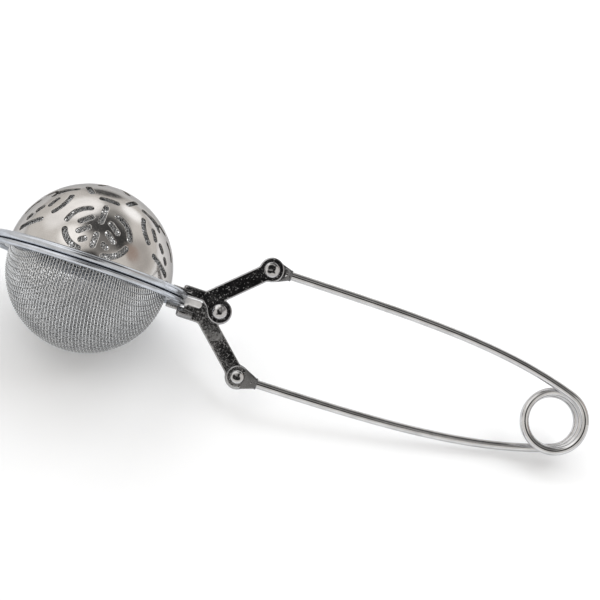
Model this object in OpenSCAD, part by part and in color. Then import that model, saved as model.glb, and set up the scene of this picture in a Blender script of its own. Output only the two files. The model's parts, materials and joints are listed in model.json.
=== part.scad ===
// Handled snap-ball tea infuser, lying on a table as it does between uses.
// Every sub-part is drawn in the hinge frame: the origin is the centre rivet, X runs along
// the handle to the spring coil, Y points to the pole of the dome and Z is the pivot axis.
// lay() then rolls and pitches the whole object until bowl, rim and coil all touch z = 0.

/* [Ball] */
// Outer diameter of the slotted dome
ball_d = 46; // [44:0.5:50]
// Sheet thickness of the dome
dome_t = 0.5; // [0.4:0.05:0.8]
// Thickness of the woven mesh as a closed shell
mesh_t = 0.4; // [0.3:0.05:0.6]
// Distance from the centre rivet to the middle of the ball
ball_x = 37.9; // [37:0.5:42]
// Height of the dome's centre above the parting plane
dome_lift = 0.7; // [0:0.1:1.5]

/* [Rim] */
// Outer diameter of both rim rings
rim_d = 56.4; // [54:0.2:60]
// Height of the upper ring's rolled edge
upper_roll = 2.2; // [1.8:0.1:2.6]
// Height of the lower ring's rolled edge
lower_roll = 1.4; // [1.2:0.1:2]
// Thickness of the flat part of each ring
flange_t = 0.6; // [0.5:0.1:1]
// Gap between the two closed rings
rim_gap = 0.12; // [0.05:0.01:0.3]

/* [Levers] */
// Thickness of the stamped lever plates
lever_t = 1.2; // [1:0.1:1.5]
// Gap between plates that turn on each other
plate_gap = 0.1; // [0.05:0.05:0.2]
// Radius of the eyes round the rivets
eye_r = 3.4; // [3.2:0.1:3.8]
// Width of a lever's rear leg
leg_w = 4.75; // [4:0.25:5.5]
// Rear rivets: distance behind the centre rivet
rear_x = 10.2; // [9.5:0.1:11]
// Rear rivets: distance from the handle's centre line
rear_y = 15.6; // [15:0.1:17]
// Slope of a lever's rear leg
leg_slope = 43.2; // [40:0.2:46]
// Height of a lever's front finger
finger_h = 2.8; // [2.4:0.1:3.2]

/* [Rivets] */
// Radius of the rivet shanks
shank_r = 1.25; // [1:0.05:1.5]
// Radius of the rear rivets' heads
rear_head_r = 2.4; // [2:0.1:2.6]
// Radius of the centre rivet's heads
centre_head_r = 2.2; // [2:0.1:2.6]
// Height of the domed heads
head_h = 0.95; // [0.7:0.05:1.2]
// Radial clearance of the rear rivets in the wire sockets
turn_fit = 0.05; // [0.02:0.01:0.1]
// Radial clearance of the centre rivet in the upper lever
centre_fit = 0.65; // [0.6:0.05:0.8]

/* [Wire] */
// Diameter of the handle wire
wire_d = 2.4; // [2:0.1:2.8]
// Distance from the centre rivet to the coil's axis
coil_x = 97.8; // [90:0.5:110]
// Mean radius of the coil's turn nearest the upper leg
coil_r = 8.5; // [8:0.1:10]
// Gap between neighbouring turns of the coil
coil_gap = 0.25; // [0.2:0.05:0.5]
// Amount that the coil's radius shrinks in each turn
coil_taper = 0.4; // [0:0.05:0.6]
// Angle at which each leg meets the coil
leg_meet = 19; // [15:1:25]
// Distance of the legs from the centre line at the sockets
leg_y = 15.8; // [15.4:0.1:16.2]
// Distance from a rear rivet to the end of its wire socket
socket_l = 5.2; // [5:0.1:7]
// Length of the straight pull of a leg's bow at the socket
bow_front = 37; // [30:1:45]
// Length of the straight pull of a leg's bow at the coil
bow_rear = 24; // [16:1:30]

/* [Slots] */
// Width of the slots in the dome
slot_w = 1.9; // [1.4:0.1:2.2]
// Slot groups round the dome
slot_groups = 5; // [3:1:5]
// Height of the slot groups above the parting plane, in degrees
slot_lift = 32; // [28:1:36]
// Radial slots in each group
slot_dashes = 7; // [5:1:8]

/* [Hidden] */
$fn = 96;
R = ball_d / 2;
rim_r = rim_d / 2;
bowl_r = R - 0.4;
wire_r = wire_d / 2;
half_gap = plate_gap / 2;
lever_reach = half_gap + lever_t;

// A wire's end goes grip_l into its socket, whose barrel has the outer radius grip_r.
grip_l = 1.9;
grip_r = wire_r + 0.3;
shade_dark = [0.30, 0.30, 0.31];
shade_light = [0.80, 0.81, 0.83];
shade_mesh = [0.62, 0.62, 0.62];

// The parting plane is y = 0: dome and upper ring above it, bowl and lower ring below it.
upper_y0 = rim_gap / 2;
lower_y0 = -rim_gap / 2;
bowl_drop = dome_lift;
weld_bite = 0.15;

// Coil: the wire turns clockwise from the upper leg, away from the upper leg's side.
coil_turns = 2 + (180 - 2 * leg_meet) / 360;
coil_pitch = wire_d + coil_gap;
coil_top_z = coil_pitch * coil_turns / 2;
start_angle = 90 - leg_meet;
end_r = coil_r - coil_taper * coil_turns;
coil_out_r = coil_r + wire_r;
coil_half_h = coil_top_z + wire_r;

// Rest position: u is the table's upward normal in the hinge frame.
bead_r = lower_roll / 2;
bead_y = lower_y0 - bead_r;
bead_ring_r = rim_r - bead_r;
bead_drop = -bead_y - bowl_drop;
uy = cos(asin((bowl_r - bead_r) / norm([bead_drop, bead_ring_r])) - atan(bead_drop / bead_ring_r));
function rest_rise(ux) = bowl_r - bowl_drop * uy - coil_out_r * norm([ux, uy])
    - coil_half_h * sqrt(1 - uy * uy - ux * ux);
function pitch_sine(steps) = steps == 0 ? 0.1
    : rest_rise(pitch_sine(steps - 1)) / (coil_x + ball_x);
pitch = asin(pitch_sine(6));
roll = asin(uy / cos(pitch));
up = [-sin(pitch), uy, cos(pitch) * cos(roll)];
along = [cos(pitch), sin(pitch) * sin(roll), sin(pitch) * cos(roll)];
across = [0, cos(roll), -sin(roll)];
bowl_centre = [-ball_x, -bowl_drop, 0];
dome_centre = [-ball_x, dome_lift, 0];
coil_centre = [coil_x, 0, 0];
bead_centre = [-ball_x, bead_y, 0];
rest_h = bowl_r - up * bowl_centre;
x_low = along * bead_centre - bead_ring_r * norm([along.x, along.z]) - bead_r;
x_high = along * coil_centre + coil_out_r * norm([along.x, along.y]) + coil_half_h * along.z;
y_low = across * bowl_centre - bowl_r;
y_high = across * dome_centre + R;

// Lays the object down: the bowl and the coil rest on z = 0, over the middle of the footprint.
module lay() {
    translate([-(x_low + x_high) / 2, -(y_low + y_high) / 2, rest_h])
        rotate([0, pitch, 0]) rotate([roll, 0, 0]) children();
}

// ---- Wire ----

function unit(v) = v / norm(v);
function ring(p, t, r, sides) = let (a = unit(cross(t, [0, 0, 1])), b = cross(a, t))
    [for (i = [0 : sides - 1]) p + r * (cos(360 * i / sides) * a + sin(360 * i / sides) * b)];

// Direction of a path at one of its points, from the parabola through three neighbours.
function tangent(points, i) = let (n = len(points))
    i == 0 ? unit(4 * points[1] - 3 * points[0] - points[2])
    : i == n - 1 ? unit(3 * points[n - 1] - 4 * points[n - 2] + points[n - 3])
    : unit(points[i + 1] - points[i - 1]);

// A round wire swept along points, closed at both ends.
module swept_wire(points, r, sides = 12) {
    n = len(points);
    rings = [for (i = [0 : n - 1]) each ring(points[i], tangent(points, i), r, sides)];
    walls = [for (i = [0 : n - 2], j = [0 : sides - 1])
        let (k = (j + 1) % sides)
        [i * sides + j, (i + 1) * sides + j, (i + 1) * sides + k, i * sides + k]];
    near = [for (j = [0 : sides - 1]) j];
    far = [for (j = [0 : sides - 1]) (n - 1) * sides + sides - 1 - j];
    polyhedron(rings, concat(walls, [near, far]), convexity = 8);
}

// Point of the coil at a share s of its length, from the upper leg's end to the lower leg's.
function coil_point(s) = let (a = start_angle - 360 * coil_turns * s,
    r = coil_r + (end_r - coil_r) * s)
    [coil_x + r * cos(a), r * sin(a), coil_top_z * (1 - 2 * s)];

// A leg bows from its socket to the coil. side is 1 for the upper leg and -1 for the lower.
function leg_start(side) = [rear_x + socket_l - grip_l, side * leg_y, -side * (grip_r + half_gap)];
function leg_end(side) = side > 0 ? coil_point(0) : coil_point(1);
function leg_point(side, t) = let (p0 = leg_start(side), p3 = leg_end(side),
    p1 = p0 + [bow_front, 0, 0],
    p2 = p3 - bow_rear * [cos(leg_meet), -side * sin(leg_meet), 0])
    pow(1 - t, 3) * p0 + 3 * t * pow(1 - t, 2) * p1 + 3 * t * t * (1 - t) * p2 + pow(t, 3) * p3;

module spring_coil() {
    steps = 66;
    color(shade_light) lay()
        swept_wire([for (i = [0 : steps]) coil_point(i / steps)], wire_r);
}

// A leg ends just short of the coil, so that it swings free of the coil's end face.
module leg_wire(side) {
    steps = 26;
    short = 0.998;
    color(shade_light) lay()
        swept_wire([for (i = [0 : steps]) leg_point(side, short * i / steps)], wire_r);
}

module upper_leg_wire() leg_wire(1);
module lower_leg_wire() leg_wire(-1);

// A socket is an eye on the rear rivet that tapers into a barrel round the wire's end.
module wire_socket(side) {
    plate_z = side > 0 ? -lever_reach : half_gap;
    start = leg_start(side);
    neck_r = eye_r - 0.2;
    neck_l = socket_l - 0.2;
    color(shade_dark) lay() difference() {
        union() {
            translate([rear_x, side * rear_y, plate_z]) {
                cylinder(r = neck_r, h = lever_t);
                linear_extrude(lever_t)
                    polygon([[0, neck_r], [neck_l, grip_r], [neck_l, -grip_r], [0, -neck_r]]);
            }
            translate([start.x, start.y, start.z]) rotate([0, 90, 0])
                cylinder(r = grip_r, h = grip_l);
        }
        translate([rear_x, side * rear_y, plate_z - 1])
            cylinder(r = shank_r + turn_fit, h = lever_t + 2);
        translate([start.x - 0.05, start.y, start.z]) rotate([0, 90, 0])
            cylinder(r = wire_r + 0.02, h = socket_l);
    }
}

module upper_wire_socket() wire_socket(1);
module lower_wire_socket() wire_socket(-1);

// ---- Levers ----

// Bend of a lever: where the rear leg's centre line meets the finger's.
function bend_point(side, finger_y) =
    [rear_x - (rear_y - finger_y) / tan(leg_slope), side * finger_y];

// Outline of a lever in the plane of the handle, for a finger from x0 on, inner_y off the axis.
module lever_outline(side, x0, inner_y, tab_x, tab_y, tab_h) {
    finger_y = inner_y + finger_h / 2;
    bend = bend_point(side, finger_y);
    rear = [rear_x, side * rear_y];
    w = leg_w / 2 * [-sin(leg_slope), side * cos(leg_slope)];
    circle(r = eye_r);
    translate(rear) circle(r = eye_r);
    polygon([bend + w, rear + w, rear - w, bend - w]);
    polygon([
        bend + w, bend - w, [eye_r - 0.4, side * 1.4], [0, -side * 1.2],
        [-2.9, -side * 1], [x0 + 4.5, side * inner_y], [x0 + 4.5, side * (inner_y + finger_h)]
    ]);
    translate([x0, min(side * inner_y, side * (inner_y + finger_h))])
        square([bend.x - x0, finger_h]);
    translate([tab_x, min(side * tab_y, side * (tab_y + tab_h))])
        square([x0 + 1 - tab_x, tab_h]);
}

// A lever plate with two bores, and the return fold that doubles its finger.
module lever(side, x0, inner_y, tab_x, tab_y, tab_h, centre_r) {
    plate_z = side > 0 ? half_gap : -lever_reach;
    fold_l = 3.4;
    fold_y = side > 0 ? inner_y : -inner_y - finger_h;
    color(shade_dark) lay() difference() {
        union() {
            translate([0, 0, plate_z]) linear_extrude(lever_t)
                lever_outline(side, x0, inner_y, tab_x, tab_y, tab_h);
            translate([x0, fold_y, -lever_reach]) cube([fold_l, finger_h, 2 * lever_reach]);
        }
        translate([0, 0, plate_z - 1]) cylinder(r = centre_r, h = lever_t + 2);
        translate([rear_x, side * rear_y, plate_z - 1]) cylinder(r = shank_r, h = lever_t + 2);
    }
}

// The tabs bite into the rolled edges by weld_bite, where the real ones are spot-welded.
module upper_lever() {
    lever(1, -9.6, 1.5, -14.4, upper_y0 + upper_roll - weld_bite, 1.3, shank_r + centre_fit);
}

module lower_lever() {
    lever(-1, -11.6, 1.7, -14.8, lower_roll - lower_y0 - weld_bite, 1.7, shank_r);
}

// A rivet: two domed heads on a plain shank, from z = low to z = high.
module rivet(low, high, front_r, back_r) {
    translate([0, 0, low]) cylinder(r = shank_r, h = high - low);
    translate([0, 0, high]) rivet_head(front_r, head_h);
    translate([0, 0, low]) mirror([0, 0, 1]) rivet_head(back_r, head_h * 0.75);
}

// A flat-bottomed head, the cap of a sphere on a low cylinder.
module rivet_head(r, h) {
    rim_h = h * 0.35;
    cap_h = h - rim_h;
    cap_r = (r * r + cap_h * cap_h) / (2 * cap_h);
    cylinder(r = r, h = rim_h);
    intersection() {
        translate([0, 0, h - cap_r]) sphere(r = cap_r);
        translate([0, 0, rim_h]) cylinder(r = r, h = cap_h);
    }
}

module rear_rivet(side) {
    low = side > 0 ? -lever_reach - half_gap : -lever_reach;
    high = side > 0 ? lever_reach : lever_reach + half_gap;
    color(shade_light) lay() translate([rear_x, side * rear_y, 0])
        rivet(low, high, rear_head_r, rear_head_r - 0.4);
}

module upper_rear_rivet() rear_rivet(1);
module lower_rear_rivet() rear_rivet(-1);

module centre_rivet() {
    color(shade_light) lay()
        rivet(-lever_reach, lever_reach + half_gap, centre_head_r, centre_head_r);
}

// ---- Ball ----

// Turns a shape drawn round +Z so that it stands round +Y at the middle of the ball.
module on_ball(y) {
    translate([-ball_x, y, 0]) rotate([-90, 0, 0]) children();
}

// Section of a ring: a flat flange that ends in a rolled edge of height roll.
module ring_section(inner, roll) {
    bead = roll / 2;
    translate([inner, 0]) square([rim_r - bead - inner, flange_t]);
    translate([rim_r - bead, bead]) circle(r = bead);
}

module upper_rim() {
    color(shade_light) lay() on_ball(upper_y0)
        rotate_extrude() ring_section(R - 1.4, upper_roll);
}

module lower_rim() {
    color(shade_light) lay() translate([-ball_x, lower_y0, 0]) rotate([90, 0, 0])
        rotate_extrude() ring_section(bowl_r - 1.4, lower_roll);
}

// The locating tongue that stands out of the lower ring, between the two fingers.
module rim_tongue() {
    tongue_r = 0.9;
    tip_x = -5.9;
    edge_x = rim_r - ball_x;
    color(shade_light) lay() translate([0, 0, half_gap]) linear_extrude(lever_t) {
        translate([edge_x - 1.2, lower_y0 - lower_roll * 0.9]) square([1.2, lower_roll * 0.9]);
        translate([edge_x, -tongue_r]) square([tip_x - edge_x - tongue_r, 2 * tongue_r]);
        translate([tip_x - tongue_r, 0]) circle(r = tongue_r);
    }
}

// One slot with round ends, from x = r0 to x = r1 of its group, as a cutter along Z.
module dash(r0, r1) {
    w = slot_w / 2;
    translate([r0 + w, -w]) square([r1 - r0 - slot_w, slot_w]);
    translate([r0 + w, 0]) circle(r = w);
    translate([r1 - w, 0]) circle(r = w);
}

// One group of slots: dashes that stand round a free centre.
module slot_group() {
    for (i = [0 : slot_dashes - 1])
        rotate(i * 360 / slot_dashes) dash(2.6, 6.3 + (i % 2) * 1.2);
}

module dome_shell() {
    wall = upper_y0 + flange_t - dome_lift + 0.02;
    color(shade_light) lay() on_ball(dome_lift) difference() {
        sphere(r = R);
        sphere(r = R - dome_t);
        translate([0, 0, wall - 2 * R]) cylinder(r = 2 * R, h = 2 * R);
        for (g = [0 : slot_groups - 1])
            rotate([0, 0, g * 360 / slot_groups]) rotate([0, 90 - slot_lift, 0])
                linear_extrude(R + 5) slot_group();
    }
}

// The woven mesh inside the dome, as a plain closed shell.
module dome_mesh_liner() {
    outer = R - dome_t - 0.1;
    wall = upper_y0 + flange_t - dome_lift + 0.02;
    color(shade_mesh) lay() on_ball(dome_lift) difference() {
        sphere(r = outer);
        sphere(r = outer - mesh_t);
        translate([0, 0, wall - 2 * R]) cylinder(r = 2 * R, h = 2 * R);
    }
}

// The woven mesh bowl, as a plain closed shell.
module mesh_bowl() {
    wall = bowl_drop - rim_gap / 2 - flange_t - 0.02;
    color(shade_mesh) lay() on_ball(-bowl_drop) difference() {
        sphere(r = bowl_r);
        sphere(r = bowl_r - mesh_t);
        translate([0, 0, wall]) cylinder(r = 2 * R, h = 2 * R);
    }
}

spring_coil();
upper_leg_wire();
upper_wire_socket();
lower_leg_wire();
lower_wire_socket();
upper_lever();
upper_rear_rivet();
upper_rim();
dome_shell();
dome_mesh_liner();
lower_lever();
lower_rear_rivet();
centre_rivet();
rim_tongue();
lower_rim();
mesh_bowl();
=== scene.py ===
"""Tea infuser: a handled snap ball with a slotted dome, a woven mesh bowl and a sprung wire handle.

Shapes are worked out in the hinge frame, in millimetres: the origin is the centre rivet, X runs
along the handle to the coil, Y points to the pole of the dome and Z is the pivot axis.
"""

import math

import bpy
import numpy as np
from mathutils import Matrix, Vector, kdtree
from mathutils.geometry import delaunay_2d_cdt
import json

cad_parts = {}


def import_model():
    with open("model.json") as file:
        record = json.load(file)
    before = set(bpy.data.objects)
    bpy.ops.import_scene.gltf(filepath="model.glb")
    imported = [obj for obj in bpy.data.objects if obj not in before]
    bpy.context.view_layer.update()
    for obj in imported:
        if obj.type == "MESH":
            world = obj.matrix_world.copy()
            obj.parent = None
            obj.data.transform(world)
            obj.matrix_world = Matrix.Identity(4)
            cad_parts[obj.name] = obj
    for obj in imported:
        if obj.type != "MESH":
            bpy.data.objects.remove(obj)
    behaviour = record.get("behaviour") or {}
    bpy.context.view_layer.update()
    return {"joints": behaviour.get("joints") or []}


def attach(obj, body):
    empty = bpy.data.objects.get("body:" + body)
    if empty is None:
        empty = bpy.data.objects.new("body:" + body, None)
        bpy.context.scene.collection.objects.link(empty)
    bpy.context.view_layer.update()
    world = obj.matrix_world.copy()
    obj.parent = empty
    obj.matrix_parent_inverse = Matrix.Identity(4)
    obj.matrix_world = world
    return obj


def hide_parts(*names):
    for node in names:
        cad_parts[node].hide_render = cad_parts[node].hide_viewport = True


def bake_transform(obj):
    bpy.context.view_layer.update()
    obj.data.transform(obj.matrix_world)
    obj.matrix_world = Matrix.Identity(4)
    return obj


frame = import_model()

# ---- Hinge frame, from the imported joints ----

MM = 0.001
REAR_X = 10.2                 # rear rivets, behind the centre rivet


def joint_point(name):
    """Position of a packed joint, in the row frame."""
    return Vector(next(j for j in frame["joints"] if j["name"] == name)["pos_m"])


pivot_up = joint_point("upper_rear_pivot")
pivot_low = joint_point("lower_rear_pivot")
coil_axis = joint_point("upper_leg_flex")
rear_middle = (pivot_up + pivot_low) / 2
dir_x = (coil_axis - rear_middle).normalized()
dir_y = (pivot_up - pivot_low).normalized()
dir_z = dir_x.cross(dir_y)
hinge_origin = rear_middle - dir_x * REAR_X * MM
HINGE_AXES = np.array([dir_x, dir_y, dir_z])
REAR_Y = (pivot_up - pivot_low).length / 2 / MM
COIL_X = (coil_axis - rear_middle).length / MM + REAR_X


def to_row(points):
    """Hinge millimetres to row metres."""
    return np.asarray(points, float) * MM @ HINGE_AXES + np.array(hinge_origin)


# ---- Driving sizes, in millimetres ----

BALL_X = 37.9                 # middle of the ball, in front of the centre rivet
DOME_R = 23.0
DOME_T = 0.5
LIFT = 0.7                    # dome centre above, bowl centre below the parting plane
BOWL_R = 22.25                # middle of the bowl's weave
LINER_R = 22.05               # middle of the liner's weave
RIM_R = 28.2
RING_Y = 0.06                 # inner faces of the rings, from the parting plane
FLANGE_T = 0.6
UPPER_ROLL = 2.2
LOWER_ROLL = 1.4
LEVER_T = 1.2
HALF_GAP = 0.05
PLATE_TOP = HALF_GAP + LEVER_T
WASHER = 0.05                 # play between a rivet's head and the plate that turns under it
HOLE_EDGE = 3.0               # how much sharper the rivet holes are than the outlines
EYE_R = 3.45
HOLE_R = 1.3
SHANK_R = 1.2
LEG_W = 4.75
LEG_SLOPE = math.radians(43.2)
WIRE_R = 1.2
COIL_R = 8.5
COIL_TAPER = 0.4
LEG_MEET = math.radians(19)
LEG_Y = 15.8
LEG_X = 14.2                  # front end of each leg's wire, inside its socket
LEG_Z = 0.65
MOUTH_X = 15.5                # where a socket turns from a flat taper into its round mouth
EYE_CLEAR = 13.75             # the lever's eye ends before this, so a socket may grow across it
BARREL_R = 1.42
COIL_TURNS = 2.5 - LEG_MEET / math.pi
COIL_PITCH = 2.65
COIL_TOP = COIL_PITCH * COIL_TURNS / 2

# ---- Materials ----

MIX_A, MIX_B, MIX_OUT = 6, 7, 2      # the colour sockets of a Mix node


class Nodes:
    """A material's node tree with short ways to add and join nodes."""

    def __init__(self, name):
        self.material = bpy.data.materials.new(name)
        self.material.use_nodes = True
        self.tree = self.material.node_tree
        self.shader = self.tree.nodes["Principled BSDF"]

    def add(self, kind, inputs=None, **settings):
        node = self.tree.nodes.new("ShaderNode" + kind)
        for key, value in settings.items():
            setattr(node, key, value)
        for key, value in (inputs or {}).items():
            self.put(node.inputs[key], value)
        return node

    def put(self, socket, value):
        if isinstance(value, bpy.types.NodeSocket):
            self.tree.links.new(value, socket)
        else:
            socket.default_value = value

    def coords(self, output, scale):
        """Texture coordinates stretched by scale, from the surface's UV map or its own space."""
        place = self.add("TexCoord").outputs[output]
        return self.add("Mapping", {"Vector": place, "Scale": scale}).outputs["Vector"]

    def noise(self, place, scale, detail=3.0, distortion=0.0):
        made = self.add("TexNoise", {"Vector": place, "Scale": scale, "Detail": detail,
                                     "Distortion": distortion})
        return made.outputs["Fac"]

    def spread(self, value, low, high, to_low, to_high):
        """Maps low..high of a value to to_low..to_high, and clamps it."""
        made = self.add("MapRange", {"Value": value, "From Min": low, "From Max": high,
                                     "To Min": to_low, "To Max": to_high})
        return made.outputs["Result"]

    def mix(self, share, dark, light):
        made = self.add("Mix", data_type="RGBA")
        self.put(made.inputs["Factor"], share)
        self.put(made.inputs[MIX_A], (*dark, 1.0))
        self.put(made.inputs[MIX_B], (*light, 1.0))
        return made.outputs[MIX_OUT]

    def bump(self, height, depth, normal=None):
        inputs = {"Height": height, "Distance": depth, "Strength": 1.0}
        if normal is not None:
            inputs["Normal"] = normal
        return self.add("Bump", inputs).outputs["Normal"]


def steel(name, dark, light, rough, grain=None, marks=0.3, depth=0.002, output="Object", edge=1.0,
          hammer=0.0):
    """A metal whose colour and gloss vary over it.

    rough is its lowest and highest roughness. grain is the stretch of its brushed lines, marks
    the share of fine scratches and pits, and depth how deep they are. edge is how bright it stays
    at a grazing angle, and hammer the depth of its dents. Depths are in millimetres.
    """
    n = Nodes(name)
    per_mm = 1.0 if output == "UV" else 1 / MM
    plain = n.coords(output, (per_mm, per_mm, per_mm))
    cloud = n.noise(plain, 0.22, 4.0, 0.4)
    lines_at = n.coords(output, tuple(per_mm * g for g in grain or (1, 1, 1)))
    lines = n.noise(lines_at, 6.0 if grain else 14.0, 6.0)
    tint = n.add("Math", {0: cloud, 1: lines}, operation="ADD").outputs[0]
    n.put(n.shader.inputs["Base Color"], n.mix(n.spread(tint, 0.75, 1.25, 0.0, 1.0), dark, light))
    n.shader.inputs["Metallic"].default_value = 1.0
    n.shader.inputs["Specular Tint"].default_value = (edge, edge, edge, 1.0)
    speck = n.noise(plain, 2.2, 2.0)
    smudge = n.add("Math", {0: speck, 1: cloud}, operation="ADD").outputs[0]
    n.put(n.shader.inputs["Roughness"], n.spread(smudge, 0.8, 1.2, rough[0], rough[1]))
    pits = n.spread(speck, 0.64, 0.75, 0.0, -marks)
    brushed = n.add("Math", {0: lines, 1: 1.0 if grain else 0.05}, operation="MULTIPLY").outputs[0]
    height = n.add("Math", {0: pits, 1: brushed}, operation="ADD").outputs[0]
    normal = n.bump(height, depth * MM)
    if hammer:
        normal = n.bump(n.noise(plain, 0.6, 0.0), hammer * MM, normal)
    n.put(n.shader.inputs["Normal"], normal)
    return n.material


DOME_STEEL = steel("dome_steel_finish", (0.54, 0.525, 0.51), (0.64, 0.62, 0.605), (0.10, 0.20),
                   marks=0.4, depth=0.003, edge=0.48)
MESH_STEEL = steel("mesh_steel_finish", (0.62, 0.635, 0.65), (0.86, 0.87, 0.88), (0.09, 0.20),
                   depth=0.003)
# Painted shade: the weft is a darker copy of the mesh steel, so that the warp reads as the lit
# family of wires.
WEFT_PAINTED_SHADE_STEEL = steel("weft_painted_shade_finish", (0.32, 0.33, 0.34), (0.54, 0.55, 0.56), (0.12, 0.24),
                   depth=0.003)
RIM_STEEL = steel("rim_steel_finish", (0.44, 0.465, 0.50), (0.64, 0.67, 0.73), (0.10, 0.26),
                  grain=(0.012, 1.2, 1.0), depth=0.003, output="UV", edge=0.6)
WIRE_STEEL = steel("wire_steel_finish", (0.50, 0.50, 0.505), (0.70, 0.70, 0.71), (0.07, 0.16),
                   grain=(0.012, 1.5, 1.0), depth=0.0015, output="UV", edge=0.6)
LEVER_NICKEL = steel("lever_nickel_finish", (0.30, 0.30, 0.31), (0.52, 0.52, 0.53), (0.06, 0.20),
                     marks=1.0, depth=0.020, edge=0.6)
DULL_NICKEL = steel("dull_nickel_finish", (0.22, 0.22, 0.225), (0.50, 0.50, 0.505), (0.16, 0.36),
                    marks=1.0, depth=0.070, edge=0.6)
# Painted shade: a darker copy of the lever nickel, for the socket barrels.
PAINTED_SHADE_NICKEL = steel("painted_shade_nickel_finish", (0.09, 0.09, 0.092), (0.22, 0.22, 0.225), (0.16, 0.34),
                    marks=1.0, depth=0.03, edge=0.7)
RIVET_NICKEL = steel("rivet_nickel_finish", (0.40, 0.40, 0.41), (0.62, 0.62, 0.63), (0.06, 0.16),
                     marks=0.5, depth=0.010, hammer=0.34)
# Painted sheen: a near-white copy of the rim steel, for the bright light on the tongue.
TONGUE_PAINTED_SHEEN_STEEL = steel("tongue_painted_sheen_finish", (0.90, 0.90, 0.91), (0.99, 0.99, 0.99), (0.42, 0.60),
                     grain=(0.4, 8.0, 8.0), depth=0.006)

SLOTS = {m.name: m.name.removesuffix("_finish") for m in (
    DOME_STEEL, MESH_STEEL, RIM_STEEL, WIRE_STEEL, LEVER_NICKEL, RIVET_NICKEL)}
SLOTS |= {TONGUE_PAINTED_SHEEN_STEEL.name: "rim_steel", WEFT_PAINTED_SHADE_STEEL.name: "mesh_steel",
          DULL_NICKEL.name: "lever_nickel", PAINTED_SHADE_NICKEL.name: "lever_nickel"}

# ---- Pieces ----


def add_piece(name, points, faces, material, body, replaced=(), normals=None, uv=None, crease=None):
    """A mesh piece from hinge-frame points, which rides on a body if one is given."""
    mesh = bpy.data.meshes.new(name)
    mesh.from_pydata(to_row(points).tolist(), [], [tuple(f) for f in faces])
    mesh.validate()
    mesh.shade_smooth()
    if uv is not None:
        layer = mesh.uv_layers.new(name="lay")
        layer.data.foreach_set("uv", np.asarray(uv, np.float32).ravel())
    if crease is not None:
        mesh.set_sharp_from_angle(angle=math.radians(crease))
    if normals is not None:
        mesh.normals_split_custom_set_from_vertices((np.asarray(normals) @ HINGE_AXES).tolist())
    mesh.materials.append(material)
    piece = bpy.data.objects.new(name, mesh)
    bpy.context.scene.collection.objects.link(piece)
    if replaced:
        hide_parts(*replaced)
    if body:
        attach(piece, body)
    return piece


def unit(vectors):
    """Vectors brought to length one, along the last axis."""
    vectors = np.asarray(vectors, float)
    return vectors / np.linalg.norm(vectors, axis=-1, keepdims=True)


def grid_faces(rows, columns, closed_rows=False):
    """Quads between neighbouring rows of a grid whose columns close round."""
    last = rows if closed_rows else rows - 1
    i, j = np.meshgrid(np.arange(last), np.arange(columns), indexing="ij")
    a, b = i * columns + j, i * columns + (j + 1) % columns
    up = ((i + 1) % rows) * columns
    return np.stack([a, up + j, up + (j + 1) % columns, b], -1).reshape(-1, 4)


def grid_uv(along, around, closed_rows=False):
    """UV of grid_faces, in millimetres. around, and along if it closes, has one value more."""
    rows, columns = len(along) - (1 if closed_rows else 0), len(around) - 1
    last = rows if closed_rows else rows - 1
    i, j = np.meshgrid(np.arange(last), np.arange(columns), indexing="ij")
    along, around = np.asarray(along), np.asarray(around)
    corners = [(i, j), (i + 1, j), (i + 1, j + 1), (i, j + 1)]
    return np.stack([np.stack([along[a], around[b]], -1) for a, b in corners], 2).reshape(-1, 2)


def sweep(path, radius, sides, ups=None):
    """Points of a round wire along a path. ups are directions that its first side faces."""
    path = np.asarray(path, float)
    tangents = unit(np.gradient(path, axis=0))
    if ups is None:
        ups = np.empty_like(path)
        up = np.array([0.0, 0.0, 1.0])
        for i, t in enumerate(tangents):
            up = unit(up - t * (up @ t))
            ups[i] = up
    ups = unit(ups - tangents * np.sum(ups * tangents, -1, keepdims=True))
    sides_at = np.cross(tangents, ups)
    turn = np.arange(sides) * 2 * math.pi / sides
    rings = (np.cos(turn)[None, :, None] * ups[:, None] + np.sin(turn)[None, :, None]
             * sides_at[:, None])
    return path[:, None] + np.asarray(radius).reshape(-1, 1, 1) * rings


def capped(rings):
    """Points and faces of a closed tube from its rings."""
    rows, columns = rings.shape[:2]
    faces = grid_faces(rows, columns).tolist()
    faces.append(list(range(columns)))
    faces.append(list(range(rows * columns - 1, (rows - 1) * columns - 1, -1)))
    return rings.reshape(-1, 3), faces


def tube(name, path, radius, sides, material, body, replaced=()):
    """A solid wire with lines drawn along it."""
    path = np.asarray(path, float)
    points, faces = capped(sweep(path, np.full(len(path), radius), sides))
    lengths = np.concatenate([[0], np.cumsum(np.linalg.norm(np.diff(path, axis=0), axis=1))])
    around = np.arange(sides + 1) * 2 * math.pi * radius / sides
    uv = np.concatenate([grid_uv(lengths, around), np.zeros((2 * sides, 2))])
    return add_piece(name, points, faces, material, body, replaced, uv=uv, crease=50)


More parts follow.
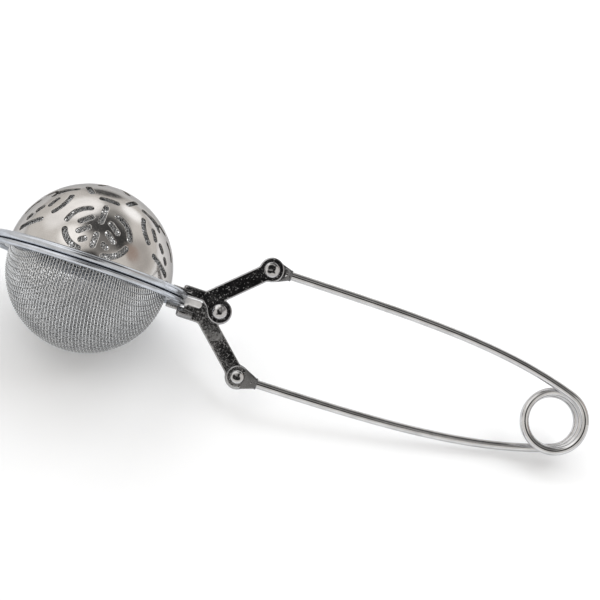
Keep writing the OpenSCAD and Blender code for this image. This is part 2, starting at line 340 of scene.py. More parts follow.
def lathe(name, profile, centre, axis_y, material, body, replaced=(), segments=288, crease=30):
    """A ring turned round Y (axis_y 1 or -1), or a rivet turned round Z (axis_y 0), at centre."""
    profile = np.asarray(profile, float)
    turn = np.arange(segments) * 2 * math.pi / segments
    r, h = profile[:, 0, None], np.broadcast_to(profile[:, 1, None], (len(profile), segments))
    if axis_y:
        points = np.stack([r * np.cos(turn), h * axis_y, r * -np.sin(turn) * axis_y], -1)
    else:
        points = np.stack([r * np.cos(turn), r * np.sin(turn), h], -1)
    closed = np.allclose(profile[0], profile[-1])
    if closed:
        points = points[:-1]
    rows = len(points)
    faces = grid_faces(rows, segments, closed)[:, ::-1].tolist()
    lengths = np.concatenate([[0], np.cumsum(np.linalg.norm(np.diff(profile, axis=0), axis=1))])
    around = np.arange(segments + 1) * 2 * math.pi * profile[:, 0].max() / segments
    # Corners in the order of the turned faces, and then U round the ring.
    uv = grid_uv(lengths, around, closed).reshape(-1, 4, 2)[:, ::-1].reshape(-1, 2)[:, ::-1]
    if not closed:
        faces.append(list(range(segments - 1, -1, -1)))
        uv = np.concatenate([uv, np.zeros((segments, 2))])
    return add_piece(name, points.reshape(-1, 3) + centre, faces, material, body, replaced,
                     uv=uv, crease=crease)


def arc(cx, cy, r, start, stop, steps):
    """Points of an arc in a plane, angles in degrees."""
    angles = np.radians(np.linspace(start, stop, steps))
    return [(cx + r * math.cos(a), cy + r * math.sin(a)) for a in angles]


# ---- Plates with rounded edges, from an outline field that is positive inside ----


def disc(p, centre, r):
    return r - np.hypot(p[0] - centre[0], p[1] - centre[1])


def bar(p, a, b, half):
    """Inside of a bar with round ends, from a to b."""
    ax, ay, bx, by = a[0], a[1], b[0] - a[0], b[1] - a[1]
    t = np.clip(((p[0] - ax) * bx + (p[1] - ay) * by) / (bx * bx + by * by), 0, 1)
    return half - np.hypot(p[0] - ax - t * bx, p[1] - ay - t * by)


def block(p, low, high, corner=0.3):
    """Inside of an upright rectangle with rounded corners."""
    cx, cy = (low[0] + high[0]) / 2, (low[1] + high[1]) / 2
    dx = np.abs(p[0] - cx) - (high[0] - low[0]) / 2 + corner
    dy = np.abs(p[1] - cy) - (high[1] - low[1]) / 2 + corner
    outside = np.hypot(np.maximum(dx, 0), np.maximum(dy, 0))
    return corner - outside - np.minimum(np.maximum(dx, dy), 0)


def convex(p, corners):
    """Inside of a convex polygon whose corners run anticlockwise."""
    sides = []
    for (ax, ay), (bx, by) in zip(corners, corners[1:] + corners[:1]):
        length = math.hypot(bx - ax, by - ay)
        sides.append(((bx - ax) * (p[1] - ay) - (by - ay) * (p[0] - ax)) / length)
    return np.minimum.reduce(sides)


def join(fields, fillet):
    """Union of outline fields, with a fillet where they meet."""
    made = fields[0]
    for f in fields[1:]:
        near = np.maximum(fillet - np.abs(made - f), 0) / fillet
        made = np.maximum(made, f) + near * near * fillet / 4
    return made


def level_line(values, xs, ys, level):
    """Segments where a field on a grid crosses a level, cell half by cell half."""
    v = values - level
    x, y = np.meshgrid(xs, ys, indexing="ij")
    whole = np.stack([x, y, v], -1)
    corners = [whole[:-1, :-1], whole[1:, :-1], whole[1:, 1:], whole[:-1, 1:]]
    found = []
    for tri in ((0, 1, 2), (0, 2, 3)):
        for k in range(3):
            a, b, c = (corners[tri[(k + s) % 3]].reshape(-1, 3) for s in range(3))
            alone = ((a[:, 2] > 0) != (b[:, 2] > 0)) & ((a[:, 2] > 0) != (c[:, 2] > 0))
            a, b, c = a[alone], b[alone], c[alone]
            ends = []
            for other in (b, c):
                t = (a[:, 2] / (a[:, 2] - other[:, 2]))[:, None]
                ends.append(a[:, :2] + t * (other[:, :2] - a[:, :2]))
            found.append(np.stack(ends, 1))
    return np.concatenate(found)


ROUNDING = (0, 18, 36, 54, 72, 89)      # angles at which a plate's rounded edge has a line


def plate(name, field, box, z_low, z_high, material, body, replaced=(), round_top=(0.95, 0.75),
          cell=0.16):
    """A stamped plate: an outline field with rounded edges, from z_low to z_high.

    round_top is the width and the depth of the front's rounding; the back takes what is left.
    """
    width, depth = round_top
    back_depth = z_high - z_low - depth
    back_width = min(width, back_depth * 1.3)
    xs = np.arange(box[0], box[2], cell)
    ys = np.arange(box[1], box[3], cell)
    values = field(np.meshgrid(xs, ys, indexing="ij"))
    steps = [width * (1 - math.cos(math.radians(a))) for a in ROUNDING]
    lines = np.concatenate([level_line(values, xs, ys, s + 1e-6) for s in steps])
    flat = np.round(lines.reshape(-1, 2), 4)
    spots, which = np.unique(flat, axis=0, return_inverse=True)
    edges = [tuple(e) for e in which.reshape(-1, 2) if e[0] != e[1]]
    made = delaunay_2d_cdt([Vector(s) for s in spots], edges, [], 0, 1e-4)
    at = np.array([(v.x, v.y) for v in made[0]])
    tris = np.array([f for f in made[2] if len(f) == 3])
    middle = at[tris].mean(1)
    tris = tris[field((middle[:, 0], middle[:, 1])) > 0]
    inside = np.maximum(field((at[:, 0], at[:, 1])), 0)
    nudge = 0.01
    x, y = at[:, 0], at[:, 1]
    slope = np.stack([field((x + nudge, y)) - field((x - nudge, y)),
                      field((x, y + nudge)) - field((x, y - nudge))], -1)
    slope = -unit(slope + 1e-12)

    def skin(w, d, flat_z, sign):
        u = np.clip(1 - inside / w, 0, 1)
        rise = np.sqrt(1 - u * u)
        z = flat_z - sign * d * (1 - rise)
        normal = np.concatenate([slope * (u / w)[:, None], sign * (rise / d)[:, None]], 1)
        return np.column_stack([at, z]), unit(normal)

    top, top_n = skin(width, depth, z_high, 1)
    low, low_n = skin(back_width, back_depth, z_low, -1)
    count = len(at)
    used = np.unique(tris)
    keep = np.full(2 * count, -1)
    order = np.concatenate([used, used + count])
    keep[order] = np.arange(len(order))
    faces = np.concatenate([keep[tris], keep[tris[:, ::-1] + count]])
    points = np.concatenate([top, low])[order]
    normals = np.concatenate([top_n, low_n])[order]
    return add_piece(name, points, faces.tolist(), material, body, replaced, normals=normals)


# ---- Lofts: rounded sections along X ----


def loft(name, sections, material, body, sides=36):
    """A closed body of sections along X: (x, y, z, half height, half depth, squareness)."""
    turn = np.arange(sides) * 2 * math.pi / sides
    rings = []
    for x, y, z, half_y, half_z, square in sections:
        c, s = np.cos(turn), np.sin(turn)
        power = 2 / square
        ring_y = y + half_y * np.sign(c) * np.abs(c) ** power
        ring_z = z + half_z * np.sign(s) * np.abs(s) ** power
        rings.append(np.stack([np.full(sides, x), ring_y, ring_z], -1))
    points, faces = capped(np.array(rings))
    return add_piece(name, points, [f[::-1] for f in faces], material, body, crease=50)


def soft_end(x, sign, half_y, half_z, y, z, edge, square, steps=5):
    """Sections of a block's end at x, rounded by edge. The block lies towards sign."""
    sections = []
    for i in range(steps + 1):
        a = math.radians(90 * i / steps)
        inset = edge * (1 - math.sin(a))
        sections.append((x + sign * edge * (1 - math.cos(a)), y, z, half_y - inset,
                         half_z - inset, square))
    return sections


def soft_ends(x0, x1, *shape):
    """Sections of a block from x0 to x1 whose two ends are rounded. shape is as for soft_end."""
    return soft_end(x0, 1, *shape) + soft_end(x1, -1, *shape)[::-1]


# ---- Handle wire ----


def coil_point(s):
    """Middle of the wire at a share s of the coil, from the upper leg's end to the lower leg's."""
    angle = math.pi / 2 - LEG_MEET - 2 * math.pi * COIL_TURNS * s
    r = COIL_R - COIL_TAPER * COIL_TURNS * s
    return np.array([COIL_X + r * math.cos(angle), r * math.sin(angle), COIL_TOP * (1 - 2 * s)])


def leg_point(side, t):
    """Middle of a leg's wire, from its socket to the coil: a bow that meets the coil smoothly."""
    bow_front, bow_rear = 37.0, 24.0
    p0 = np.array([LEG_X, side * LEG_Y, -side * LEG_Z])
    p1 = p0 + (bow_front, 0, 0)
    p3 = coil_point(0 if side > 0 else 1)
    p2 = p3 - bow_rear * np.array([math.cos(LEG_MEET), -side * math.sin(LEG_MEET), 0])
    return (1 - t) ** 3 * p0 + 3 * t * (1 - t) ** 2 * p1 + 3 * t * t * (1 - t) * p2 + t ** 3 * p3


def handle():
    """The wire in three pieces: two legs that bend out of the coil, and the coil between them."""
    bent_arc = math.radians(61)
    arc_share = bent_arc / (2 * math.pi * COIL_TURNS)
    bend_from, bend_to = (COIL_X + 8.2, 0, 0), (COIL_X - 5.8, 0, 0)
    leg_steps, arc_steps, core_steps = 70, 10, 130
    sides = 28
    for side, body, node in ((1, "upper_leg", "upper_leg_wire"),
                             (-1, "lower_leg", "lower_leg_wire")):
        leg = [leg_point(side, i / leg_steps) for i in range(leg_steps + 1)]
        shares = [arc_share * i / arc_steps for i in range(1, arc_steps + 1)]
        turn = [coil_point(s if side > 0 else 1 - s) for s in shares]
        piece = tube("handle_" + node, leg + turn, WIRE_R, sides, WIRE_STEEL, None, (node,))
        start, end = (Vector(p) for p in to_row([bend_from, bend_to]))
        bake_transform(piece)
    shares = np.linspace(arc_share, 1 - arc_share, core_steps)
    tube("handle_coil", [coil_point(s) for s in shares], WIRE_R, sides, WIRE_STEEL, "coil",
         ("spring_coil",))


def barrel_sections(side, low, high):
    """Sections of a socket's barrel, from the flat plate between low and high to its round mouth.

    The side away from the lever sinks evenly. The side on the lever stays flat over the eye.
    """
    start_x, steps = REAR_X + 1.6, 14
    eye_half, mouth_half = 2.95, 1.5
    z = -side * LEG_Z
    sections = []
    for i in range(steps + 1):
        t = i / steps
        x = start_x + t * (MOUTH_X - start_x)
        past_eye = min(max((x - EYE_CLEAR) / (MOUTH_X - 0.3 - EYE_CLEAR), 0), 1)
        top = high + (z + BARREL_R - high) * (past_eye if side > 0 else t)
        foot = low + (z - BARREL_R - low) * (t if side > 0 else past_eye)
        sections.append((x, side * (REAR_Y + (LEG_Y - REAR_Y) * t), (top + foot) / 2,
                         eye_half + (mouth_half - eye_half) * t, (top - foot) / 2, 6.0 - 2.5 * t))
    lip = [(0.0, 1.5), (0.1, 1.56), (0.3, 1.6), (0.42, 1.55), (0.5, 1.42), (0.5, 1.22)]
    return sections + [(MOUTH_X + dx, side * LEG_Y, z, r, r, 2.0) for dx, r in lip]


def sockets():
    """The pressed sockets that hold the wire's ends: a flat eye that tapers to a round barrel."""
    reach = 4
    for side, body, node in ((1, "upper_leg", "upper_wire_socket"),
                             (-1, "lower_leg", "lower_wire_socket")):
        low, high = (-PLATE_TOP, -HALF_GAP) if side > 0 else (HALF_GAP, PLATE_TOP)
        x, y = centre = (REAR_X, side * REAR_Y)

        def eye(p):
            return np.minimum(disc(p, centre, EYE_R - 0.25), -HOLE_EDGE * disc(p, centre, HOLE_R))

        plate(node + "_eye", eye, (x - reach, y - reach, x + reach, y + reach), low, high,
              DULL_NICKEL, body, (node,), round_top=(0.5, 0.6))
        # The barrel takes the darker copy of the lever nickel, which is painted shade.
        loft(node + "_barrel", barrel_sections(side, low, high), PAINTED_SHADE_NICKEL, body)


# ---- Levers ----


def lever(name, node, body, material, side, front_x, inner_y, finger_h, gusset_x, hole_r):
    """A stamped lever: two eyes, a sloping rear leg, a gusset and a straight finger to the ring.

    The finger runs from front_x at inner_y from the parting plane, and hole_r is the centre hole's.
    """
    finger_y = inner_y + finger_h / 2
    bend = (REAR_X - (REAR_Y - finger_y) / math.tan(LEG_SLOPE), finger_y)
    rear, corner, fillet = (REAR_X, REAR_Y), 0.5, 0.5
    gusset = [(gusset_x, inner_y), (-2.4, -2.4), (0, 0), (0.6, 3.4), bend]

    def outline(p):
        q = (p[0], side * p[1])
        solid = join([disc(q, (0, 0), EYE_R), disc(q, rear, EYE_R), bar(q, bend, rear, LEG_W / 2),
                      block(q, (front_x, inner_y), (bend[0], inner_y + finger_h), corner),
                      convex(q, gusset)], fillet)
        holes = np.maximum(disc(q, (0, 0), hole_r), disc(q, rear, SHANK_R))
        return np.minimum(solid, -HOLE_EDGE * holes)

    low, high = (HALF_GAP, PLATE_TOP) if side > 0 else (-PLATE_TOP, -HALF_GAP)
    y_near, y_far = -4, REAR_Y + EYE_R + 0.5
    y_low, y_high = (y_near, y_far) if side > 0 else (-y_far, -y_near)
    plate(name, outline, (front_x - 0.5, y_low, REAR_X + EYE_R + 0.5, y_high), low, high, material,
          body, (node,), round_top=(0.42, 0.42))


def finger_sections(x0, x1, half_y, half_z, y, edge, square):
    """Sections of a folded finger: a round end at x0, and a far end that sinks into its plate."""
    sections = soft_end(x0, 1, half_y, half_z, y, 0, edge, square)
    for share, sink in ((0.55, 0.0), (1.0, 0.3)):
        sections.append((x0 + (x1 - x0) * share, y, 0, half_y - sink, half_z - sink, square))
    return sections


def levers():
    """Both levers, with the folded finger ends and the tabs that hold the rings."""
    lever("upper_lever_plate", "upper_lever", "upper_jaw", LEVER_NICKEL, 1, front_x=-10.9,
          inner_y=1.35, finger_h=2.95, gusset_x=-4.9, hole_r=1.93)
    lever("lower_lever_plate", "lower_lever", "lower_jaw", DULL_NICKEL, -1, front_x=-9.8,
          inner_y=0.75, finger_h=4.0, gusset_x=-9.0, hole_r=HOLE_R)
    loft("upper_finger_fold", finger_sections(-11.4, -6.6, 1.5, PLATE_TOP, 2.85, 0.6, 5.0),
         LEVER_NICKEL, "upper_jaw")
    loft("lower_finger_fold", finger_sections(-11.45, -6.9, 1.42, 1.7, -3.35, 0.9, 2.2),
         DULL_NICKEL, "lower_jaw")
    loft("upper_ring_tab", soft_ends(-14.4, -8.8, 0.55, 0.75, 2.75, 0.6, 0.25, 3.0),
         LEVER_NICKEL, "upper_jaw")
    loft("lower_ring_tab", soft_ends(-14.8, -10.8, 0.85, 0.75, -2.25, -0.5, 0.3, 3.0),
         DULL_NICKEL, "lower_jaw")


def tongue():
    """The brushed locating tongue of the lower ring, between the fingers. Its near-white steel is a
    painted sheen.
    """
    edge_x, tip_x, half = RIM_R - BALL_X, -6.15, 1.0

    def outline(p):
        return join([bar(p, (edge_x - 0.8, 0.0), (tip_x, 0.08), half),
                     block(p, (edge_x - 1.2, -1.45), (edge_x + 0.5, 0.85), 0.2)], 0.6)

    plate("tongue_strip", outline, (-12, -2.5, -5, 2), HALF_GAP, PLATE_TOP, TONGUE_PAINTED_SHEEN_STEEL,
          "lower_jaw", ("rim_tongue",), round_top=(0.35, 0.5), cell=0.1)


def rivet_head(r, h):
    """Section of a peened head, as radius and height, from its middle to its foot."""
    turns = [math.radians(a) for a in range(4, 91, 8)]
    dome = [(r * 0.94 * math.sin(a) ** 0.8, h * (0.42 + 0.58 * math.cos(a))) for a in turns]
    return dome + [(r * 0.99, h * 0.3), (r, h * 0.2), (r * 0.98, h * 0.06), (r * 0.9, 0.0)]


def rivets():
    """Three rivets, each a shank with two heads."""
    front_h, back_h, middle_r = 0.95, 0.7, 0.02
    loose = PLATE_TOP + WASHER
    for name, x, y, body, front_r, front_z, back_r, back_z in (
            ("upper_rear_rivet", REAR_X, REAR_Y, "upper_jaw", 2.2, PLATE_TOP, 2.0, -loose),
            ("lower_rear_rivet", REAR_X, -REAR_Y, "lower_jaw", 1.95, loose, 2.0, -PLATE_TOP),
            ("centre_rivet", 0.0, 0.0, "lower_jaw", 2.1, loose, 2.1, -PLATE_TOP)):
        profile = [(middle_r, front_z + front_h)]
        profile += [(r, front_z + h) for r, h in rivet_head(front_r, front_h)]
        profile += [(SHANK_R, front_z), (SHANK_R, back_z)]
        profile += [(r, back_z - h) for r, h in rivet_head(back_r, back_h)[::-1]]
        profile += [(middle_r, back_z - back_h)]
        lathe(name + "_body", profile, (x, y, 0), 0, RIVET_NICKEL, body, (name,), segments=72)


# ---- Rings ----


def roll(height, foot, squash=0.9):
    """Section of a rolled edge, from under its flange round to the top of its flange."""
    half = height / 2
    made = []
    for a in range(-90, 151, 12):
        c, s = math.cos(math.radians(a)), math.sin(math.radians(a))
        made.append((RIM_R - half + half * math.copysign(abs(c) ** squash, c),
                     foot + half + half * math.copysign(abs(s) ** squash, s)))
    return made


def rings():
    """The two rim rings, each a flange with a rolled edge."""
    centre = (-BALL_X, 0, 0)
    top = RING_Y + FLANGE_T
    fillet = 0.9
    inner, roll_r = 21.7, RIM_R - UPPER_ROLL
    profile = [(inner, RING_Y), (24.0, RING_Y)] + roll(UPPER_ROLL, RING_Y)
    profile += [(roll_r + 0.1, top + 0.35), (roll_r - 0.25, top + 0.05), (roll_r - 0.7, top)]
    profile += arc(DOME_R + 0.03 + fillet, top + fillet, fillet, 270, 180, 7)
    profile += [(22.6, top + fillet), (22.3, top), (inner, top), (inner, RING_Y)]
    lathe("upper_rim_ring", profile, centre, 1, RIM_STEEL, "upper_jaw", ("upper_rim",), crease=60)
    inner, roll_r = 21.5, RIM_R - LOWER_ROLL
    profile = [(inner, RING_Y), (24.0, RING_Y)] + roll(LOWER_ROLL, RING_Y)
    profile += [(roll_r - 0.1, top + 0.1), (roll_r - 0.5, top)]
    profile += [(23.9, top), (23.7, top + 0.25), (23.4, top + 0.34), (23.1, top + 0.25)]
    profile += [(22.95, top), (inner, top - 0.1), (inner, RING_Y)]
    lathe("lower_rim_ring", profile, centre, -1, RIM_STEEL, "lower_jaw", ("lower_rim",), crease=60)


# ---- Woven mesh ----


def woven_points(step, count):
    """Crossings of a net of equal wires laid over a sphere from its pole, one quarter of it."""
    net = np.zeros((count + 1, count + 1, 3))
    for i in range(count + 1):
        net[i, 0] = (math.sin(i * step), 0, math.cos(i * step))
        net[0, i] = (0, math.sin(i * step), math.cos(i * step))
    for i in range(1, count + 1):
        for j in range(1, count + 1):
            across = np.cross(net[i - 1, j], net[i, j - 1])
            size = np.linalg.norm(across)
            if size < 1e-3 or net[i - 1, j - 1, 2] < -0.3:
                net[i, j] = (0, 0, -1)
                continue
            across /= size
            a = net[i - 1, j - 1]
            net[i, j] = a - 2 * (a @ across) * across
    return net


def half_wire(net, r, foot, i, direction, swap, crimp, stand):
    """Half of wire i of a family, from the middle to the foot: unit vectors and heights off r."""
    run = []
    for j in range(len(net)):
        p = net[j, abs(i)] if swap else net[abs(i), j]
        signs = (math.copysign(1, i), direction)
        flip_x, flip_y = signs[::-1] if swap else signs
        p = np.array([p[0] * flip_x, p[1] * flip_y, p[2]])
        over = (i + direction * j) % 2 == (0 if swap else 1)
        lift = stand + (crimp if over else -crimp)
        if p[2] * r < foot:
            if run:
                inner, inner_lift = run[-1]
                t = (inner[2] * r - foot) / max(inner[2] * r - p[2] * r, 1e-6)
                run.append((unit(inner * (1 - t) + p * t), lift * t + inner_lift * (1 - t)))
            break
        if run:
            run.append((unit(run[-1][0] + p), stand))
        run.append((p, lift))
    return run


def woven(name, r, centre_y, pole, foot, spin, body, replaced):
    """A woven hemisphere: a crimped weft passes over and under a nearly straight warp."""
    pitch, wire_r, sides = 0.93, 0.13, 6
    count = int(r * math.pi / 2 / pitch) + 2
    net = woven_points(pitch / r, count)
    a = math.radians(spin)
    axis_x = np.array([math.cos(a), 0, math.sin(a)])
    axis_z = np.array([0, pole, 0])
    axes = np.array([axis_x, np.cross(axis_z, axis_x), axis_z])
    # The weft takes the darker copy of the mesh steel, which is painted shade.
    for family, swap, crimp, stand, material in (
            ("warp", False, 0.3 * wire_r, 0.3 * wire_r, MESH_STEEL),
            ("weft", True, 1.35 * wire_r, -0.3 * wire_r, WEFT_PAINTED_SHADE_STEEL)):
        points, faces, base = [], [], 0
        for i in range(-count, count + 1):
            one, other = (half_wire(net, r, foot, i, direction, swap, crimp, stand)
                          for direction in (-1, 1))
            run = one[:0:-1] + other
            if len(run) < 4:
                continue
            spots = np.array([p for p, _ in run])
            path = spots * (r + np.array([h for _, h in run]))[:, None]
            made, made_faces = capped(sweep(path, np.full(len(path), wire_r), sides, spots))
            points.append(made)
            faces += [[k + base for k in f] for f in made_faces]
            base += len(made)
        points = np.concatenate(points) @ axes + (-BALL_X, centre_y, 0)
        add_piece(name + "_" + family, points, faces, material, body, replaced)


# ---- Slotted dome ----

SLOT_HALF = 0.8
SLOT_LIP = 0.13               # width of the eased edge round a slot
DOME_FOOT = math.degrees(math.asin((RING_Y + FLANGE_T - LIFT) / DOME_R))   # latitude of its edge


def on_sphere(lon, lat):
    """Unit vector at a longitude from +Z towards +X and a latitude towards +Y, in degrees."""
    lon, lat = math.radians(lon), math.radians(lat)
    return np.array([math.sin(lon) * math.cos(lat), math.sin(lat), math.cos(lon) * math.cos(lat)])


def slot_line(start, end, bulge):
    """Middle line of a slot and its sideways directions: an arc that bulges to its right."""
    p, q = on_sphere(*start), on_sphere(*end)
    middle = unit(p + q)
    ahead = unit(q - p)
    right = np.cross(ahead, middle)
    half = math.acos(float(np.clip(p @ q, -1, 1))) / 2 * DOME_R
    t = np.linspace(-1, 1, 17)
    x, y = half * t, bulge * (1 - t * t)
    slope = -2 * bulge * t / half
    norm = np.sqrt(1 + slope * slope)
    return middle, ahead, right, x, y, -slope / norm, 1 / norm


def slot_outline(start, end, bulge, half_w, cap_steps=9):
    """Closed outline of a slot with round ends, as unit vectors, and its middle line."""
    middle, ahead, right, x, y, nx, ny = slot_line(start, end, bulge)
    one, other = (x + nx * half_w, y + ny * half_w), (x - nx * half_w, y - ny * half_w)
    outline = list(zip(*one))
    for at, way_back in ((-1, zip(other[0][::-1], other[1][::-1])), (0, ())):
        a0 = math.atan2(ny[at], nx[at]) + (0 if at else math.pi)
        for k in range(1, cap_steps):
            a = a0 - math.pi * k / cap_steps
            outline.append((x[at] + half_w * math.cos(a), y[at] + half_w * math.sin(a)))
        outline += way_back

    def place(u, v):
        angle = np.hypot(u, v) / DOME_R
        direction = unit(u * ahead + v * right + 1e-15)
        return middle * math.cos(angle) + direction * math.sin(angle)

    return [place(u, v) for u, v in outline], [place(u, v) for u, v in zip(x, y)]


# Slots as (longitude, latitude) of both ends from the middle of a group, and the bulge in mm.
FLOWER = [((0, 28.5), (0, 41.5), 0), ((0, 10.5), (0, 18.5), 0), ((-7.5, 49.5), (9, 49.5), 0)]
FLOWER_PAIRS = [((7.6, 29.5), (14, 24.3), 0), ((7.2, 21.6), (12.4, 17.2), 0),
                ((6.6, 13.2), (8.8, 11.8), 0), ((11.5, 36.8), (24, 22.7), -1.0),
                ((22.3, 15.6), (8.5, 5.6), -0.9), ((21.5, 53), (34, 59), 0)]
SPRAY = [((-22, 43), (-19.5, 26), 0.9), ((-12, 37), (-11, 30.5), 0), ((-5, 27.5), (-2.6, 24), 0),
         ((0.8, 19.2), (2.4, 17), 0), ((-13, 18), (4.5, 9), 0), ((-17, 52.5), (-2.5, 39.5), -0.5),
         ((-10, 50), (0, 44), -0.2), ((10, 32), (15.2, 21.5), -0.4), ((5, 44), (10, 39.5), 0),
         ((21, 38), (22.5, 24), -0.7)]


def slots():
    """Every slot of the dome: flowers and sprays by turns, and a rosette round the pole."""
    made = []
    for turn, mirror, kind in ((3, 1, "flower"), (63, 1, "spray"), (123, -1, "spray"),
                               (183, 1, "flower"), (243, 1, "spray"), (305, -1, "spray")):
        if kind == "flower":
            group = FLOWER + FLOWER_PAIRS
            group += [((-a, b), (-c, d), -bulge) for (a, b), (c, d), bulge in FLOWER_PAIRS]
        else:
            group = SPRAY
        for (a, b), (c, d), bulge in group:
            made.append(((turn + mirror * a, b), (turn + mirror * c, d), bulge * mirror))
    for k in range(6):
        made.append(((33 + 60 * k, 70), (33 + 60 * k, 79), 0))
    return made


def flat_map(unit_vectors):
    """Sphere to plane, by distance from the pole."""
    v = np.asarray(unit_vectors)
    reach = np.arccos(np.clip(v[:, 1], -1, 1))
    angle = np.arctan2(v[:, 0], v[:, 2])
    return np.column_stack([reach * np.sin(angle), reach * np.cos(angle)])


def slot_edges():
    """Outlines of all slots, as unit vectors and edges, and a search tree of their middle lines."""
    vectors, edges, middles = [], [], []
    for start, end, bulge in slots():
        for half_w in (SLOT_HALF, SLOT_HALF + SLOT_LIP):
            outline, line = slot_outline(start, end, bulge, half_w)
            first, count = len(vectors), len(outline)
            vectors += outline
            edges += [(first + k, first + (k + 1) % count) for k in range(count)]
        line = np.array(line)
        at, fine = np.arange(len(line)), np.linspace(0, len(line) - 1, 90)
        middles.append(np.column_stack([np.interp(fine, at, line[:, k]) for k in range(3)]))
    middles = unit(np.concatenate(middles))
    tree = kdtree.KDTree(len(middles))
    for k, p in enumerate(middles):
        tree.insert(p, k)
    tree.balance()
    return vectors, edges, tree


def dome_skin():
    """Triangles of the dome's surface with its slots open, as unit vectors and corners."""
    vectors, edges, tree = slot_edges()
    ring_count, margin = 300, 0.25
    first = len(vectors)
    vectors += [on_sphere(360 * k / ring_count, DOME_FOOT) for k in range(ring_count)]
    edges += [(first + k, first + (k + 1) % ring_count) for k in range(ring_count)]
    spacing = 0.8 / DOME_R
    rows = int(math.radians(90 - DOME_FOOT) / spacing)
    for row in range(1, rows):
        lat = DOME_FOOT + (90 - DOME_FOOT) * row / rows
        around = max(1, int(2 * math.pi * math.cos(math.radians(lat)) / spacing))
        for k in range(around):
            p = on_sphere(360 * (k + 0.5 * (row % 2)) / around, lat)
            if tree.find(p)[2] * DOME_R > SLOT_HALF + SLOT_LIP + margin:
                vectors.append(p)
    vectors.append(np.array([0.0, 1.0, 0.0]))
    made = delaunay_2d_cdt([Vector(v) for v in flat_map(vectors)], edges, [], 0, 1e-6)
    plan = np.array([(v.x, v.y) for v in made[0]])
    reach = np.hypot(plan[:, 0], plan[:, 1])
    shrink = np.sin(reach) / np.maximum(reach, 1e-9)
    spots = np.column_stack([plan[:, 0] * shrink, np.cos(reach), plan[:, 1] * shrink])
    tris = np.array([f for f in made[2] if len(f) == 3])
    from_slot = np.array([tree.find(c)[2] * DOME_R for c in unit(spots[tris].mean(1))])
    tris = tris[from_slot > SLOT_HALF - 0.02]
    a, b, c = (spots[tris[:, k]] for k in range(3))
    inward = np.sum(np.cross(b - a, c - a) * (a + b + c), -1) < 0
    tris[inward] = tris[inward][:, ::-1]
    return spots, tris


def dome():
    """The dome: a polished shell with slots punched through it."""
    ease = 0.07
    spots, tris = dome_skin()
    pairs = np.concatenate([tris[:, [0, 1]], tris[:, [1, 2]], tris[:, [2, 0]]])
    seen = dict.fromkeys(map(tuple, pairs.tolist()))
    open_edges = np.array([(a, b) for a, b in seen if (b, a) not in seen])
    a, b = open_edges[:, 0], open_edges[:, 1]
    border = np.unique(open_edges)
    drop = np.zeros(len(spots))
    drop[border] = ease
    outer = spots * (DOME_R - drop)[:, None]
    inner = spots * (DOME_R - DOME_T)
    off = np.cross(unit(spots[b] - spots[a]), unit(spots[open_edges].mean(1)))
    wall_n = np.zeros_like(spots)
    for k, ends in enumerate(open_edges):
        wall_n[ends] += off[k]
    wall_n[border] = unit(wall_n[border])
    n = len(spots)
    walls = np.column_stack([a + 2 * n, a + 3 * n, b + 3 * n, b + 2 * n])
    points = np.concatenate([outer, inner, outer, inner]) + (-BALL_X, LIFT, 0)
    normals = np.concatenate([unit(spots + wall_n * 0.75), -spots, unit(wall_n + 1e-9),
                              unit(wall_n + 1e-9)])
    used = np.unique(np.concatenate([np.ravel(f) for f in (tris, tris + n, walls)]))
    keep = np.full(len(points), -1)
    keep[used] = np.arange(len(used))
    faces = [keep[f].tolist() for group in (tris, tris[:, ::-1] + n, walls) for f in group]
    add_piece("dome_slotted_shell", points[used], faces, DOME_STEEL, "upper_jaw", ("dome_shell",),
              normals=normals[used])


# ---- Stage: floor, light and camera ----


def floor():
    """A pale table top with a painted pool of light: it fades to grey away from the object, and a
    faint painted glow lightens its shadows.
    """
    half, sunk = 1.5, 0.00002
    n = Nodes("table_top")
    place = n.coords("Object", (1, 1, 1))
    reach = n.add("VectorMath", {0: place}, operation="LENGTH").outputs["Value"]
    cloud = n.add("Math", {0: n.noise(place, 9.0, 3.0), 1: 0.04}, operation="MULTIPLY").outputs[0]
    # Painted pool of light: the floor's colour turns grey away from the object.
    painted_falloff = n.spread(reach, 0.24, 0.60, 0.0, 1.0)
    painted_falloff_and_tone = n.add("Math", {0: painted_falloff, 1: cloud}, operation="ADD").outputs[0]
    n.put(n.shader.inputs["Base Color"], n.mix(painted_falloff_and_tone, (0.90, 0.915, 0.935), (0.62, 0.62, 0.62)))
    n.shader.inputs["Roughness"].default_value = 0.7
    n.shader.inputs["Specular IOR Level"].default_value = 0.2
    # Painted glow: the floor gives off a little light of its own, which lightens its shadows.
    n.shader.inputs["Emission Color"].default_value = (1.0, 1.0, 1.0, 1.0)
    n.shader.inputs["Emission Strength"].default_value = 0.10
    mesh = bpy.data.meshes.new("table_top")
    mesh.from_pydata([(-half, -half, 0), (half, -half, 0), (half, half, 0), (-half, half, 0)], [],
                     [(0, 1, 2, 3)])
    mesh.materials.append(n.material)
    top = bpy.data.objects.new("table_top", mesh)
    top.location.z = -sunk
    bpy.context.scene.collection.objects.link(top)


def heading(azimuth, elevation):
    """Unit vector at an azimuth, from +Y towards +X, and an elevation, in degrees."""
    a, e = math.radians(azimuth), math.radians(elevation)
    return (math.sin(a) * math.cos(e), math.cos(a) * math.cos(e), math.sin(e))


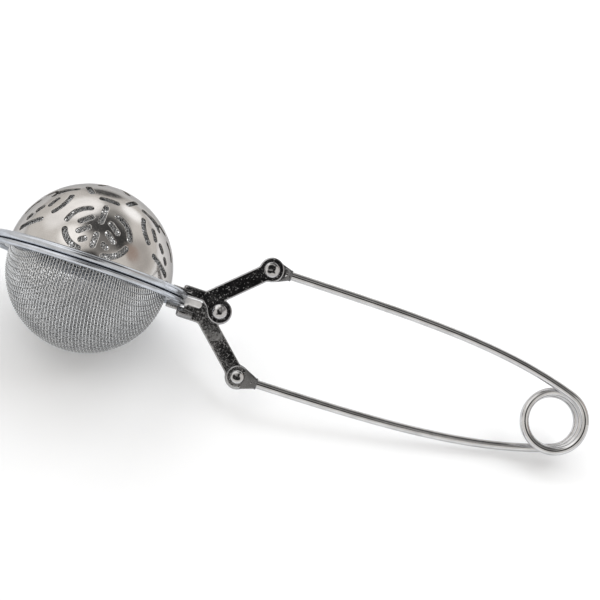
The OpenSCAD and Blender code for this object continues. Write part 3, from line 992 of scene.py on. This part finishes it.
# The studio's patches of light, as azimuth, elevation, inner and outer radius in degrees, and
# colour. A later patch lies over an earlier one.
STUDIO = [(-28, 42, 15, 26, (1.38, 1.36, 1.34)), (-60, 36, 9, 21, (1.22, 1.20, 1.18)),
          (-100, 64, 9, 20, (1.50, 1.48, 1.45)), (75, 22, 10, 26, (0.58, 0.55, 0.52)),
          (22, 48, 10, 22, (0.40, 0.39, 0.37)), (24, 64, 10, 20, (0.09, 0.09, 0.09)),
          (62, 60, 13, 26, (0.06, 0.06, 0.06)), (0, 72, 9, 20, (0.08, 0.08, 0.08)),
          (108, 72, 8, 20, (0.26, 0.25, 0.24)), (20, 17, 6, 13, (1.60, 1.60, 1.60)),
          (3, 28, 3, 10, (0.62, 0.60, 0.58)), (-8, 4, 7, 13, (0.10, 0.10, 0.10)),
          (80, 34, 4, 13, (0.46, 0.36, 0.31)), (170, 53, 12, 22, (0.015, 0.015, 0.015))]


def world():
    """A studio of softboxes and dark gaps in a plain warm-grey room."""
    made = bpy.data.worlds.new("studio")
    bpy.context.scene.world = made
    made.use_nodes = True
    tree = made.node_tree
    back = tree.nodes["Background"]
    place = tree.nodes.new("ShaderNodeTexCoord").outputs["Generated"]
    room = tree.nodes.new("ShaderNodeRGB")
    room.outputs[0].default_value = (0.88, 0.85, 0.81, 1.0)
    light = room.outputs[0]
    for azimuth, elevation, inner, outer, colour in STUDIO:
        dot = tree.nodes.new("ShaderNodeVectorMath")
        dot.operation = "DOT_PRODUCT"
        tree.links.new(place, dot.inputs[0])
        dot.inputs[1].default_value = heading(azimuth, elevation)
        ramp = tree.nodes.new("ShaderNodeMapRange")
        ramp.interpolation_type = "SMOOTHSTEP"
        tree.links.new(dot.outputs["Value"], ramp.inputs["Value"])
        ramp.inputs["From Min"].default_value = math.cos(math.radians(outer))
        ramp.inputs["From Max"].default_value = math.cos(math.radians(inner))
        mix = tree.nodes.new("ShaderNodeMix")
        mix.data_type = "RGBA"
        tree.links.new(ramp.outputs["Result"], mix.inputs["Factor"])
        tree.links.new(light, mix.inputs[MIX_A])
        mix.inputs[MIX_B].default_value = (*colour, 1.0)
        light = mix.outputs[MIX_OUT]
    tree.links.new(light, back.inputs["Color"])


def soft_light(name, azimuth, elevation, size, power):
    """A square lamp that faces the object. Only the studio's patches are seen in the metal."""
    target, distance = Vector((0, 0, 0.02)), 0.9
    place = Vector(heading(azimuth, elevation)) * distance
    data = bpy.data.lights.new(name, "AREA")
    data.size = size
    data.energy = power
    lamp = bpy.data.objects.new(name, data)
    lamp.location = place
    lamp.visible_glossy = False
    lamp.rotation_euler = (target - place).to_track_quat("-Z", "Y").to_euler()
    bpy.context.scene.collection.objects.link(lamp)


def camera():
    """The camera stands above the front, slightly rolled."""
    azimuth, elevation, tilt = (math.radians(a) for a in (2.553, 47.477, 12.654))
    distance = 0.405437
    look_at = Vector((0.0003009, 0, 0.032282))
    level = math.cos(elevation)
    back = Vector((math.sin(azimuth) * level, -math.cos(azimuth) * level, math.sin(elevation)))
    right = Vector((0, 0, 1)).cross(back).normalized()
    up = back.cross(right)
    rolled_right = right * math.cos(tilt) + up * math.sin(tilt)
    rolled_up = up * math.cos(tilt) - right * math.sin(tilt)
    data = bpy.data.cameras.new("camera")
    data.lens = 90
    data.sensor_width = 36
    data.clip_start = 0.01
    eye = bpy.data.objects.new("camera", data)
    eye.matrix_world = Matrix.Translation(look_at + back * distance) @ Matrix(
        (rolled_right, rolled_up, back)).transposed().to_4x4()
    bpy.context.scene.collection.objects.link(eye)
    bpy.context.scene.camera = eye


camera()
world()
floor()
soft_light("left_box", -35, 50, size=0.5, power=1.2)
soft_light("right_box", 48, 48, size=0.85, power=4.6)
bpy.context.scene.view_settings.view_transform = "Standard"

handle()
sockets()
levers()
tongue()
rivets()
rings()
woven("bowl_mesh", BOWL_R, -LIFT, -1, 0.0, 5, "lower_jaw", ("mesh_bowl",))
woven("liner_mesh", LINER_R, LIFT, 1, 0.0, 20, "upper_jaw", ("dome_mesh_liner",))
dome()
